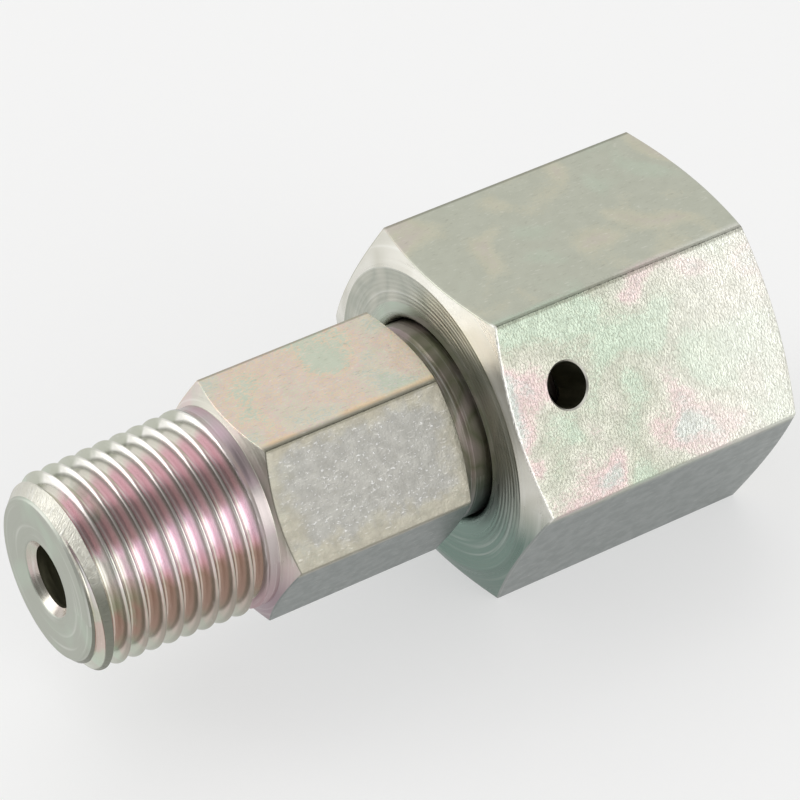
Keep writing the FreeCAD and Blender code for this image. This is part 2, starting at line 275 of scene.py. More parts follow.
class Profile:
    """Rows of points along a turned profile. Each row has one (x, radius) for each angle about the axis."""

    def __init__(self, angles, finishes):
        self.angles = angles
        self.finishes = finishes
        self.rows = []
        self.row_finishes = []
        self.partners = []

    def row(self, x, radius, finish):
        ones = np.ones(len(self.angles))
        self.rows.append((x * ones, radius * ones))
        self.row_finishes.append(list(self.finishes).index(finish))
        self.partners.append(len(self.rows) - 1)

    def chain(self, corners, finish, steps=3):
        """Straight runs from corner to corner (x, radius, rounding), with rounded corners between them."""
        ones = np.ones(len(self.angles))
        points = [np.stack((x * ones, radius * ones)) for x, radius, _ in corners]
        for number, (point, corner) in enumerate(zip(points, corners)):
            rounding = corner[2]
            if not rounding or number in (0, len(points) - 1):
                self.row(point[0], point[1], finish)
                continue
            back, ahead = points[number - 1] - point, points[number + 1] - point
            back_length, ahead_length = np.hypot(*back), np.hypot(*ahead)
            back, ahead = back / back_length, ahead / ahead_length
            cosine = np.clip((back * ahead).sum(0), -STRAIGHTEST, STRAIGHTEST)
            reach = rounding * np.sqrt((1 + cosine) / (1 - cosine))
            reach = np.minimum(reach, LONGEST_REACH * np.minimum(back_length, ahead_length))
            start, stop = point + back * reach, point + ahead * reach
            for t in np.linspace(0, 1, steps + 1):
                spot = (1 - t) ** 2 * start + 2 * t * (1 - t) * point + t**2 * stop
                self.row(spot[0], spot[1], finish)

    def arc(self, x, radius, section, first, last, steps, finish):
        """Round section about (x, radius), from one angle of the section to another."""
        for turn in np.linspace(first, last, steps + 1):
            self.row(x + section * math.cos(turn), radius + section * math.sin(turn), finish)

    def helix(self, start, end, crest, pitch, phases, radius_at, finish):
        """Rows that climb with a thread, so that they follow its crests and roots exactly."""
        first_turn = math.floor((min(start, end) - crest) / pitch) - 2
        last_turn = math.ceil((max(start, end) - crest) / pitch) + 1
        turns = range(first_turn, last_turn)
        places = [crest + (turn + phase) * pitch for turn in turns for phase in phases]
        step = len(phases)
        if end < start:
            places.reverse()
            step = -step
        first_row = len(self.rows)
        for place in places:
            x = np.clip(place + pitch * self.angles / FULL_TURN, min(start, end), max(start, end))
            self.row(x, radius_at(x, self.angles), finish)
        last_row = len(self.rows) - 1
        for number in range(first_row, last_row + 1):
            self.partners[number] = min(max(number + step, first_row), last_row)

    def mesh(self, name):
        """Closed mesh from the rows, with the last row joined to the first."""
        columns, count = len(self.angles), len(self.rows)
        x = np.array([row[0] for row in self.rows])
        radius = np.array([row[1] for row in self.rows])
        points = np.stack((x, radius * np.cos(self.angles), radius * np.sin(self.angles)), axis=-1)
        here = np.arange(count)
        after = (here + 1) % count
        partners = np.array(self.partners)
        column = np.arange(columns - 1)
        low, high = here[:, None] * columns, after[:, None] * columns
        inner = [low + column, low + column + 1, high + column + 1, high + column]
        last = columns - 1
        seam = [
            here * columns + last,
            partners[here] * columns,
            partners[after] * columns,
            after * columns + last,
        ]
        faces = np.concatenate([np.stack(inner, axis=-1), np.stack(seam, axis=-1)[:, None]], axis=1)
        mesh = bpy.data.meshes.new(name)
        mesh.from_pydata(points.reshape(-1, 3).tolist(), [], faces.reshape(-1, 4).tolist())
        face_finishes = np.repeat(self.row_finishes, columns).astype(np.int32)
        mesh.polygons.foreach_set("material_index", face_finishes)
        for material in self.finishes.values():
            mesh.materials.append(material)
        close_skin(mesh)
        return mesh


def close_skin(mesh):
    """Merges the points that fall together and turns the faces outward."""
    work = bmesh.new()
    work.from_mesh(mesh)
    bmesh.ops.remove_doubles(work, verts=work.verts, dist=MERGE_DISTANCE)
    turn_outward(work)
    open_edges = sum(1 for edge in work.edges if not edge.is_manifold)
    work.to_mesh(mesh)
    work.free()
    if open_edges:
        raise RuntimeError(f"{mesh.name} has {open_edges} open edges")


def turn_outward(work):
    """Turns the faces of a closed mesh outward."""
    bmesh.ops.recalc_face_normals(work, faces=work.faces)
    if work.calc_volume(signed=True) < 0:
        bmesh.ops.reverse_faces(work, faces=work.faces)


def corner_geometry(flat, rounding):
    """Distance of a rounded hexagon corner's centre from the axis, and half the angle that it takes up."""
    centre = (flat - rounding) / math.cos(SECTOR / 2)
    reach = rounding * math.sin(SECTOR / 2)
    return centre, math.atan2(reach, centre + rounding * math.cos(SECTOR / 2))


def sector_angles(first_corner, flat, rounding):
    """Angles about the axis, closer together at the corners of a hexagon."""
    edge_angle = corner_geometry(flat, rounding)[1]
    fine = edge_angle * np.array([0, 0.25, 0.5, 0.75, 1.0, 1.6])
    even = np.linspace(EVEN_START, SECTOR / 2, EVEN_ANGLES)
    half = np.concatenate([fine, even])
    sector = np.concatenate([half, SECTOR - half[1:-1][::-1]])
    return np.concatenate([first_corner + SECTOR * number + sector for number in range(6)])


def hexagon_radius(angles, first_corner, flat, rounding):
    """Radius of a hexagon with rounded corners at each angle."""
    centre, edge_angle = corner_geometry(flat, rounding)
    half = SECTOR / 2
    from_corner = np.abs((angles - first_corner + half) % SECTOR - half)
    straight = flat / np.cos(half - from_corner)
    under = np.maximum(rounding**2 - (centre * np.sin(from_corner)) ** 2, 0)
    curved = centre * np.cos(from_corner) + np.sqrt(under)
    return np.where(from_corner < edge_angle, curved, straight)


def thread_drop(offset, sizes, depth):
    """How far a thread's surface lies from its crests, at a distance from the crest's middle."""
    t = np.clip((offset - sizes.crest_flat / 2) / (depth * math.tan(sizes.flank_angle)), 0, 1)
    bend = 1 - sizes.root_softness
    bend_drop, bend_slope = bend**sizes.bulge, sizes.bulge * bend ** (sizes.bulge - 1)
    past = np.maximum(t - bend, 0)
    root = bend_drop + bend_slope * (past - past**2 / (2 * sizes.root_softness))
    full = bend_drop + bend_slope * sizes.root_softness / 2
    return depth * np.where(t > bend, root, t**sizes.bulge) / full


def thread_phases(flat, pitch):
    """Places of the rows along one turn of a thread, closest together round the crest."""
    near_crest = np.linspace(0, 2 * flat, CREST_ROWS)
    flank = np.linspace(2 * flat, pitch / 2, FLANK_ROWS)[1:]
    half = np.concatenate([near_crest, flank]) / pitch
    return np.concatenate([half, 1 - half[1:-1][::-1]])


def crest_distance(x, angles, first_crest, pitch):
    """Turns from the first crest, and the distance along the axis from the nearest crest."""
    turns = (x - first_crest) / pitch - angles / FULL_TURN
    return turns, np.abs((turns + 0.5) % 1 - 0.5) * pitch


def groove_ends(wire, radius):
    """Half the width of the wire's groove at a radius, and the angle of its section there."""
    rise = radius - wire.ring_radius
    return math.sqrt(wire.groove_radius**2 - rise**2), math.asin(rise / wire.groove_radius)


def put(name, data):
    """New object in the scene."""
    made = bpy.data.objects.new(name, data)
    bpy.context.scene.collection.objects.link(made)
    return made


def place(name, mesh, body, slot, node):
    """Puts a mesh in the scene as a piece that rides on a body and stands for a CAD node."""
    piece = put(name, mesh)
    mesh.shade_smooth()
    mesh.set_sharp_from_angle(angle=SHARP_ANGLE)
    weighted = piece.modifiers.new("even_shading", "WEIGHTED_NORMAL")
    weighted.keep_sharp = True
    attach(piece, body)
    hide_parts(node)


def cut(mesh, cutter):
    """Cuts a closed mesh out of another."""
    body = put("cutting_body", mesh)
    tool = put("cutting_tool", cutter)
    step = body.modifiers.new("cut", "BOOLEAN")
    step.operation = "DIFFERENCE"
    step.solver = "EXACT"
    step.object = tool
    depsgraph = bpy.context.evaluated_depsgraph_get()
    result = bpy.data.meshes.new_from_object(body.evaluated_get(depsgraph))
    result.name = mesh.name
    for helper in (body, tool):
        bpy.data.objects.remove(helper)
    return result


# Finishes


def grey(level):
    return (level, level, level)


def darker(tint, level):
    return tuple(level * value for value in tint)


def tints_of(colours, *names):
    return [tuple(getattr(colours, name)) for name in names]


def strip(rise, top, end, fall, level):
    """Ramp stops of a strip that rises to a level and falls to nothing again."""
    return [(rise, grey(0)), (top, grey(level)), (end, grey(level)), (fall, grey(0))]


class Nodes:
    """Short ways to lay out a node tree."""

    def __init__(self, tree):
        self.tree = tree

    def node(self, kind, inputs=None, **settings):
        made = self.tree.nodes.new(kind)
        for key, value in settings.items():
            setattr(made, key, value)
        for socket, value in (inputs or {}).items():
            self.feed(made.inputs[socket], value)
        return made

    def feed(self, socket, value):
        """Links a socket to another one, or sets its constant."""
        if isinstance(value, bpy.types.NodeSocket):
            self.tree.links.new(value, socket)
        elif socket.type == "RGBA":
            socket.default_value = (*value, 1)
        else:
            socket.default_value = value

    def math(self, operation, first, second=None, third=None):
        given = {0: first, 1: second, 2: third}
        inputs = {socket: value for socket, value in given.items() if value is not None}
        return self.node("ShaderNodeMath", inputs, operation=operation).outputs[0]

    def dot(self, first, second):
        made = self.node("ShaderNodeVectorMath", {0: first, 1: second}, operation="DOT_PRODUCT")
        return made.outputs["Value"]

    def noise(self, place, scale=1.0, detail=2.0, roughness=0.5, distortion=0.0):
        inputs = {
            "Vector": place,
            "Scale": scale,
            "Detail": detail,
            "Roughness": roughness,
            "Distortion": distortion,
        }
        return self.node("ShaderNodeTexNoise", inputs).outputs["Fac"]

    def span(self, value, low, high, to_low=0.0, to_high=1.0):
        """Value carried smoothly from one span to another."""
        ends = {"From Min": low, "From Max": high, "To Min": to_low, "To Max": to_high}
        made = self.node("ShaderNodeMapRange", {"Value": value, **ends}, interpolation_type="SMOOTHSTEP")
        return made.outputs["Result"]

    def spread(self, noise, low, high):
        """Noise carried to a span of its own."""
        return self.span(noise, NOISE_LOW, NOISE_HIGH, low, high)

    def ramp(self, value, stops):
        """Tints that follow a value, from stops of a place and a tint each."""
        made = self.node("ShaderNodeValToRGB", {"Fac": value})
        elements = made.color_ramp.elements
        while len(elements) > 1:
            elements.remove(elements[-1])
        elements[0].position = stops[0][0]
        elements[0].color = (*stops[0][1], 1)
        for position, tint in stops[1:]:
            elements.new(position).color = (*tint, 1)
        return made.outputs["Color"]

    def mix(self, amount, first, second):
        inputs = {0: amount, 6: first, 7: second}
        return self.node("ShaderNodeMix", inputs, data_type="RGBA").outputs[2]


class Finish(Nodes):
    """A material whose nodes work with places in millimetres."""

    def __init__(self, name):
        self.material = bpy.data.materials.new(name)
        self.material.use_nodes = True
        super().__init__(self.material.node_tree)
        self.tree.nodes.clear()
        coordinates = self.node("ShaderNodeTexCoord").outputs["Object"]
        inputs = {0: coordinates, "Scale": 1 / MM}
        self.place = self.node("ShaderNodeVectorMath", inputs, operation="SCALE").outputs[0]
        self.x, self.y, self.z = self.node("ShaderNodeSeparateXYZ", {"Vector": self.place}).outputs
        across = self.math("ADD", self.math("POWER", self.y, 2.0), self.math("POWER", self.z, 2.0))
        self.radius = self.math("SQRT", across)
        self.turn = self.math("ARCTAN2", self.z, self.y)

    def reach(self, turn):
        """Distance from the axis in the direction of an angle about it."""
        return self.dot(self.place, (0, math.cos(turn), math.sin(turn)))

    def stretch(self, along, across):
        """Place scaled by one factor along the axis and another across it."""
        inputs = {0: self.place, 1: (along, across, across)}
        return self.node("ShaderNodeVectorMath", inputs, operation="MULTIPLY").outputs[0]

    def film(self, base, tints, scale, amount, grain=0.0):
        """Base colour under soft patches of the passivation's tints, with grainy borders."""
        patches = self.noise(self.place, scale, detail=1.0, distortion=0.4)
        if grain:
            grains = self.noise(self.stretch(5.0, 8.0), roughness=0.6)
            grains = self.span(grains, 0.25, 0.75, -grain, grain)
            patches = self.math("ADD", patches, grains)
        levels = np.linspace(NOISE_LOW, NOISE_HIGH, len(tints))
        return self.mix(amount, base, self.ramp(patches, list(zip(levels, tints))))

    def bump(self, height, distance, under=None):
        """Relief of a height map that is a distance in millimetres deep, on top of the relief under it."""
        inputs = {"Height": height, "Distance": distance * MM, "Strength": 1.0}
        if under is not None:
            inputs["Normal"] = under
        return self.node("ShaderNodeBump", inputs).outputs["Normal"]

    def rings(self, outward, scale):
        """Turning marks: noise that runs round the axis in broken rings."""
        around = self.math("MULTIPLY", self.turn, 0.15)
        point = self.node("ShaderNodeCombineXYZ", {"X": outward, "Y": around}).outputs[0]
        return self.noise(point, scale, roughness=0.6)

    def shade(self, base, roughness, normal, metallic=1.0, white=0.0):
        """Finished material. A share of plain white is added for the camera and for reflections only."""
        inputs = {"Base Color": base, "Roughness": roughness, "Metallic": metallic, "Normal": normal}
        surface = self.node("ShaderNodeBsdfPrincipled", inputs).outputs[0]
        if white:
            rays = self.node("ShaderNodeLightPath").outputs
            seen = self.math("MAXIMUM", rays["Is Camera Ray"], rays["Is Glossy Ray"])
            seen = self.math("MAXIMUM", seen, rays["Is Transmission Ray"])
            glow = self.node("ShaderNodeEmission", {"Color": grey(1), "Strength": 1.0}).outputs[0]
            inputs = {0: self.math("MULTIPLY", seen, white), 1: surface, 2: glow}
            surface = self.node("ShaderNodeMixShader", inputs).outputs[0]
        self.node("ShaderNodeOutputMaterial", {"Surface": surface})
        return self.material


def turned_finish(name, base, tints, amount, roughness, depth, scale, along_axis=False, shade_below=None):
    """Turned surface: fine rings round the axis over the plating, and painted shade in another tint on the
    lower side.
    """
    finish = Finish(name)
    tone = finish.film(base, tints, 0.45, amount)
    # Painted shade: the lower side takes the tint given for it
    if shade_below:
        tone = finish.mix(finish.span(finish.z, 1.0, -3.0), tone, shade_below)
    rings = finish.rings(finish.x if along_axis else finish.radius, scale)
    tone = finish.mix(finish.span(rings, 0.5, 0.8, 0.0, 0.35), tone, BRIGHT_MARK)
    tone = finish.mix(finish.span(rings, 0.5, 0.25, 0.0, 0.1), tone, DARK_MARK)
    skin = finish.bump(rings, depth)
    skin = finish.bump(finish.noise(finish.place, 12.0), 0.003, under=skin)
    sheen = finish.spread(rings, roughness - 0.05, roughness + 0.08)
    return finish.shade(tone, sheen, skin)


def painted_edge_shade(finish, tone, flat, olive_tint_and_shade, width):
    """Painted shade: a thin dark line along the upper long edges of a hexagon."""
    corner = flat / math.cos(SECTOR / 2)
    edge = finish.span(finish.radius, corner - width, corner - width / 2, 0.0, 0.5)
    upper = finish.span(finish.z, 0.6 * flat, 0.8 * flat)
    return finish.mix(finish.math("MULTIPLY", edge, upper), tone, darker(olive_tint_and_shade, 0.4))


def drawn_streaks(finish, tone, light, dark):
    """Fine marks along the axis, as drawn bar has them."""
    streaks = finish.noise(finish.stretch(2.6, 9.0), roughness=0.6)
    tone = finish.mix(finish.span(streaks, 0.6, 0.75, 0.0, light), tone, BRIGHT_STREAK)
    tone = finish.mix(finish.span(streaks, 0.4, 0.25, 0.0, dark), tone, DARK_STREAK)
    return streaks, tone


def nut_flat_finish(colours, sizes):
    """Drawn flats of the nut, with a faint film. The flat with the hole is pebbled and has more colour."""
    zinc, pale, frost, leaf, blush, straw, sky, dusk_shade, olive_tint_and_shade = tints_of(
        colours, "zinc", "pale", "frost", "leaf", "blush", "straw", "sky", "dusk_shade", "olive_tint_and_shade"
    )
    finish = Finish("plated_flat")
    flat = NUT_FLAT / MM
    pebbled = finish.span(finish.reach(sizes.hole_angle), flat - 0.5, flat - 0.1)

    # Film of the plain flats, and the brighter one of the pebbled flat
    tone = finish.film(zinc, [leaf, zinc, zinc, straw, blush], scale=0.28, amount=0.24, grain=0.03)
    # Painted shade: the lower flats turn dusk grey
    tone = finish.mix(finish.span(finish.z, 0.0, -0.1 * flat), tone, dusk_shade)
    bright_tints = [leaf, leaf, zinc, pale, blush, sky]
    bright = finish.film(zinc, bright_tints, scale=0.3, amount=0.65, grain=0.03)
    middle = (NUT_START + NUT_END) / 2 / MM
    bright = finish.mix(finish.span(finish.x, middle - 2, NUT_END / MM, 0.0, 0.7), bright, frost)
    tone = finish.mix(finish.math("MULTIPLY", pebbled, 0.85), tone, bright)

    # Streaks, pebbles with painted shade in their hollows, and the painted shade line along the upper edges
    streaks, tone = drawn_streaks(finish, tone, light=0.2, dark=0.28)
    pebbles = finish.noise(finish.stretch(10.5, 6.5), detail=1.0, distortion=0.3)
    # Painted shade: olive in the hollows between the pebbles, mostly on the flat with the hole
    hollows = finish.math("MULTIPLY", finish.span(pebbles, 0.5, 0.35, 0.0, 0.2), pebbled)
    tone = finish.mix(hollows, tone, olive_tint_and_shade)
    tone = painted_edge_shade(finish, tone, flat, olive_tint_and_shade, width=0.12)

    # Lighter lip beside the front chamfer, strongest on the pebbled flat
    slope = finish.math("MULTIPLY", finish.radius, math.tan(sizes.front_chamfer))
    from_chamfer = finish.math("SUBTRACT", finish.x, slope)
    chamfer = (NUT_START - sizes.face_radius * math.tan(sizes.front_chamfer)) / MM
    lip = finish.span(from_chamfer, chamfer + 0.05, chamfer + 0.14, 1.0, 0.0)
    lip = finish.math("MULTIPLY", lip, finish.span(pebbled, 0.0, 1.0, 0.1, 0.8))
    tone = finish.mix(lip, tone, frost)

    relief = finish.math("MULTIPLY", pebbles, finish.span(pebbled, 0.0, 1.0, 0.12, 1.0))
    skin = finish.bump(relief, 0.042)
    skin = finish.bump(streaks, 0.005, under=skin)
    sheen = finish.spread(finish.noise(finish.place, 1.5), 0.32, 0.42)
    return finish.shade(tone, sheen, skin)


def etched_mask(finish, sizes):
    """Where the flat is that carries the etched field, and where on it the field lies."""
    turn, flat = sizes.hex_turn + 2.5 * SECTOR, sizes.hex_flat / MM
    middle = (sizes.hex_start + sizes.hex_end) / 2 / MM
    on_flat = finish.span(finish.reach(turn), flat - 0.4, flat - 0.1)
    wobble = finish.noise(finish.place, 0.8, detail=3.0, roughness=0.6)
    wobble = finish.spread(wobble, -ETCHED_WOBBLE, ETCHED_WOBBLE)
    across = finish.math("ADD", finish.reach(turn - math.pi / 2), ETCHED_OFFSET)
    across = finish.math("ADD", finish.math("ABSOLUTE", across), wobble)
    along = finish.math("SUBTRACT", finish.x, middle)
    along = finish.math("ADD", finish.math("ABSOLUTE", along), wobble)
    along, across = finish.span(along, *ETCHED_LENGTH), finish.span(across, *ETCHED_WIDTH)
    field = finish.math("MULTIPLY", along, across)
    return on_flat, finish.math("MULTIPLY", on_flat, field)


def hexagon_finish(colours, sizes):
    """Spanner flats of the stud: cream with pastel patches, and one flat with a grey, speckled middle."""
    cream, leaf, blush, straw, sky, amber, sand, etched, dusk_shade, olive_tint_and_shade = tints_of(
        colours, "cream", "leaf", "blush", "straw", "sky", "amber", "sand", "etched", "dusk_shade", "olive_tint_and_shade"
    )
    finish = Finish("plated_hexagon")
    flat = sizes.hex_flat / MM
    corner = flat / math.cos(SECTOR / 2)
    patches = [leaf, sky, straw, cream, blush, amber, cream, leaf]
    tone = finish.film(cream, patches, scale=0.3, amount=0.5, grain=0.11)

    # Orange strip along one corner, and painted shade that greys the lower side
    near_edge = finish.reach(sizes.hex_turn + 2 * SECTOR)
    near_edge = finish.span(near_edge, corner - 0.35, corner - 0.1, 0.0, 0.85)
    here_and_there = finish.span(finish.noise(finish.stretch(0.4, 0.2)), 0.35, 0.5)
    tone = finish.mix(finish.math("MULTIPLY", near_edge, here_and_there), tone, amber)
    tone = finish.mix(finish.span(finish.z, -0.05 * flat, -0.12 * flat), tone, dusk_shade)

    # Etched flat, with bright specks in its field
    on_flat, field = etched_mask(finish, sizes)
    tone = finish.mix(finish.math("MULTIPLY", on_flat, 0.95), tone, sand)
    tone = finish.mix(finish.math("MULTIPLY", field, 0.65), tone, etched)
    streaks, tone = drawn_streaks(finish, tone, light=0.25, dark=0.3)
    specks = finish.noise(finish.stretch(6.0, 9.0), detail=1.0)
    specks = finish.math("MULTIPLY", finish.span(specks, 0.6, 0.74, 0.0, 0.35), field)
    tone = finish.mix(specks, tone, grey(0.97))
    tone = painted_edge_shade(finish, tone, flat, olive_tint_and_shade, width=0.1)

    skin = finish.bump(streaks, 0.006)
    skin = finish.bump(finish.noise(finish.place, 7.0), 0.012, under=skin)
    skin = finish.bump(specks, 0.015, under=skin)
    sheen = finish.spread(finish.noise(finish.place, 1.8), 0.34, 0.44)
    return finish.shade(tone, sheen, skin)


def thread_phase(finish, sizes):
    """Place in a turn of the thread: 0 on the crest, then the far flank, the root and the near flank."""
    pitches = finish.math("SUBTRACT", finish.x, sizes.first_crest / MM)
    pitches = finish.math("DIVIDE", pitches, sizes.pitch / MM)
    turns = finish.math("DIVIDE", finish.turn, FULL_TURN)
    return finish.math("FRACT", finish.math("SUBTRACT", pitches, turns))


def thread_film(finish, colours, sizes, scratches):
    """Film of the thread, with painted highlights and painted shade. It changes round the axis, and from the
    crests to the roots.
    """
    zinc, frost, rose, wine_shade, petal_highlight, clay_shade, moss_film_and_shade, ash_shade, leaf = tints_of(
        colours, "zinc", "frost", "rose", "wine_shade", "petal_highlight", "clay_shade", "moss_film_and_shade", "ash_shade", "leaf"
    )
    drift = finish.noise(finish.stretch(0.3, 0.6), distortion=0.4)
    share_round = finish.math("FRACT", finish.math("DIVIDE", finish.turn, FULL_TURN))
    shifted = finish.math("ADD", share_round, finish.spread(drift, -0.012, 0.012))

    # Tints by the share of a turn from +Y towards +Z: of the flanks, beside the crests and on them. Frost and
    # petal are painted highlights, wine, clay and ash painted shade, rose and zinc the film
    flank_film_and_light_stops = [
        (0.0, zinc),
        (0.165, zinc),
        (0.18, frost),
        (0.225, frost),
        (0.26, rose),
        (0.29, rose),
        (0.315, wine_shade),
        (0.36, wine_shade),
        (0.39, petal_highlight),
        (0.43, petal_highlight),
        (0.455, rose),
        (0.48, clay_shade),
        (0.56, clay_shade),
        (0.62, zinc),
        (0.8, zinc),
    ]
    beside_light_stops = [(0.15, zinc), (0.205, frost), (0.43, frost), (0.48, clay_shade), (0.53, ash_shade), (0.7, zinc)]
    crest_light_stops = [
        (0.15, zinc),
        (0.205, frost),
        (0.26, frost),
        (0.31, zinc),
        (0.46, zinc),
        (0.54, ash_shade),
        (0.7, zinc),
    ]

    # Film of the flanks, with green patches near the tip
    green = finish.span(drift, 0.5, 0.6, 0.0, 0.45)
    green = finish.math("MULTIPLY", green, finish.span(finish.x, 3.4, 1.6))
    film = finish.mix(green, finish.ramp(shifted, flank_film_and_light_stops), leaf)

    # Strips along the thread, by the place in a turn of it: green film and painted shade in the roots,
    # painted highlight and shade beside the crests, painted shade behind them, painted highlight and shade on
    # them
    phase = thread_phase(finish, sizes)
    much, some, little = grey(0.8), grey(0.5), grey(0.1)
    root_film_and_shade_stops = [(0.26, much), (0.3, little), (0.35, little), (0.38, some), (0.45, some), (0.5, little)]
    root_film_and_shade = finish.ramp(phase, strip(0.4, 0.46, 0.54, 0.6, level=1.0))
    root_film_and_shade = finish.math("MULTIPLY", root_film_and_shade, finish.ramp(share_round, root_film_and_shade_stops))
    film = finish.mix(root_film_and_shade, film, moss_film_and_shade)
    beside_crest_light = finish.ramp(phase, strip(0.8, 0.88, 0.96, 0.98, level=0.55))
    film = finish.mix(beside_crest_light, film, finish.ramp(shifted, beside_light_stops))
    behind_crest_shade = finish.ramp(phase, strip(0.02, 0.04, 0.2, 0.27, level=0.8))
    film = finish.mix(behind_crest_shade, film, ash_shade)
    most, none = grey(0.9), grey(0)
    on_crest = finish.ramp(phase, [(0.0, most), (0.025, none), (0.96, none), (0.985, most)])
    film = finish.mix(on_crest, film, finish.ramp(shifted, crest_light_stops))
    return finish.mix(finish.span(scratches, 0.62, 0.75, 0.0, 0.2), film, SCRATCH)


def chamfer_rays_and_shade(finish, colours):
    """Slanting rays on the chamfer at the tip, and its tone, with painted shade that dulls the lower side."""
    pale, ash_shade = tints_of(colours, "pale", "ash_shade")
    slant = finish.math("MULTIPLY", finish.x, RAY_LEAN)
    slant = finish.math("MULTIPLY_ADD", finish.turn, RAY_CLOSENESS, slant)
    place_on_ray = {"X": slant, "Y": finish.math("MULTIPLY", finish.x, RAY_BREAK)}
    place_on_ray = finish.node("ShaderNodeCombineXYZ", place_on_ray).outputs[0]
    rays = finish.noise(place_on_ray, detail=3.0, roughness=0.7)
    tone = finish.mix(finish.span(rays, 0.5, 0.7, 0.0, 0.4), pale, grey(0.9))
    # Painted shade: ash darkens the lower side of the chamfer
    return rays, finish.mix(finish.span(finish.z, 3.3, 1.3, 0.0, 0.9), tone, ash_shade)


def thread_finish(colours, sizes):
    """Taper thread. Its colours are pale, because light is thrown back and forth in the grooves."""
    finish = Finish("plated_thread")
    scratches = finish.noise(finish.stretch(14.0, 1.5), roughness=0.6)
    film = thread_film(finish, colours, sizes, scratches)
    tip = (sizes.tip_radius - STUD_START) / MM
    on_chamfer = finish.span(finish.math("SUBTRACT", finish.radius, finish.x), tip - 0.05, tip - 0.02)
    rays, worn = chamfer_rays_and_shade(finish, colours)
    # The chamfer's tone carries painted shade on its lower side
    tone = finish.mix(on_chamfer, film, worn)
    skin = finish.bump(scratches, 0.0015)
    skin = finish.bump(finish.math("MULTIPLY", rays, on_chamfer), 0.06, under=skin)
    sheen = finish.span(on_chamfer, 0.0, 1.0, 0.23, 0.32)
    return finish.shade(tone, sheen, skin)


def shaded_bore_finish(name, colours):
    """Drilled wall in painted shade, with rings of darker and lighter olive."""
    finish = Finish(name)
    rings = finish.rings(finish.x, 5.0)
    tone = finish.mix(rings, darker(colours.olive_tint_and_shade, 0.5), tuple(colours.olive_tint_and_shade))
    return finish.shade(tone, finish.span(rings, 0.2, 0.8, 0.35, 0.5), finish.bump(rings, 0.01))


def wire_finish(name):
    """Bright drawn wire with a fine grain."""
    finish = Finish(name)
    draw = finish.noise(finish.place, 10.0, detail=3.0, roughness=0.6)
    tone = finish.mix(draw, DARK_DRAWN, BRIGHT_DRAWN)
    return finish.shade(tone, finish.span(draw, 0.2, 0.8, 0.28, 0.4), finish.bump(draw, 0.004))


def rubber_finish(name, base):
    """Moulded rubber with a grey bloom and fine dust."""
    finish = Finish(name)
    bloom = finish.noise(finish.place, 2.0, detail=3.0, roughness=0.6)
    dust = finish.noise(finish.place, 14.0, roughness=0.6)
    tone = finish.mix(finish.span(bloom, 0.4, 0.8, 0.0, 0.3), base, BLOOM)
    sheen = finish.span(dust, 0.2, 0.8, 0.45, 0.62)
    return finish.shade(tone, sheen, finish.bump(dust, 0.006), metallic=0.0)


# Stud


class FITTING_OT_stud(bpy.types.Operator):
    """Build the stud: taper thread, hexagon, neck and cone nose in one turned skin"""

    bl_idname = "fitting.stud"
    bl_label = "Stud"

    def execute(self, context):
        sizes = context.scene.stud_sizes
        wire = context.scene.wire_sizes
        finishes = stud_finishes(context.scene.finish_colours, sizes)
        skin = Profile(sector_angles(sizes.hex_turn, sizes.hex_flat, sizes.hex_edge), finishes)
        lay_tip(skin, sizes)
        lay_taper_thread(skin, sizes)
        lay_stud_hexagon(skin, sizes)
        lay_neck(skin, sizes, wire)
        lay_nose(skin, sizes)
        lay_flow_bore(skin, sizes)
        pocket = hook_pocket(wire, context.scene.nut_sizes)
        dress_tool(pocket, finishes, lambda face: "neck")
        mesh = cut(skin.mesh("stud"), pocket)
        place("stud", mesh, "stud", "plated_stud", "stud_body")
        return {"FINISHED"}


def lay_tip(skin, sizes):
    """Countersunk end of the bore and the flat tip face."""
    start, tip, edge = STUD_START, sizes.tip_radius, sizes.small_edge
    rim = sizes.bore_radius + sizes.bore_break
    before = (start + edge, rim - edge, 0)
    middle = (start, (rim + tip) / 2, 0)
    after = (start + 2 * sizes.tip_edge, tip + 2 * sizes.tip_edge, 0)
    skin.chain([(start + sizes.bore_break, sizes.bore_radius, 0), before], "countersink")
    skin.chain([before, (start, rim, edge), middle], "tip_face")
    skin.chain([middle, (start, tip, sizes.tip_edge), after], "tip_face")


def taper_thread_radius(sizes, x, angles):
    """Radius of the threaded shank: tip chamfer, crest cone and band, less the groove until it runs out."""
    crest = sizes.crest_radius + (x - STUD_START) * sizes.taper
    turns, offset = crest_distance(x, angles, sizes.first_crest, sizes.pitch)
    middle = sizes.first_crest + (np.floor(turns) + 0.5 + angles / FULL_TURN) * sizes.pitch
    risen = np.clip((middle - sizes.full_depth_end) / sizes.run_out, 0, 1) * sizes.depth
    drop = thread_drop(offset, sizes, sizes.depth)
    chamfer = sizes.tip_radius + (x - STUD_START)
    fade = np.clip((x - sizes.crest_end) / sizes.crest_fade, 0, 1)
    shank = crest + (sizes.band_radius - crest) * fade
    return np.minimum(np.minimum(crest - drop + risen, shank), chamfer)


def lay_taper_thread(skin, sizes):
    """Rows that follow the thread to its last full turn, then close rows over its run-out and the band."""

    def radius_at(x, angles):
        return taper_thread_radius(sizes, x, angles)

    start = STUD_START + 2 * sizes.tip_edge
    end = sizes.crest_end - sizes.pitch / 4
    phases = thread_phases(sizes.crest_flat, sizes.pitch)
    skin.helix(start, end, sizes.first_crest, sizes.pitch, phases, radius_at, "thread")
    for x in np.arange(end + TINY, sizes.hex_start - TINY, TINY):
        skin.row(x, radius_at(x, skin.angles), "thread" if x < sizes.crest_end else "band")


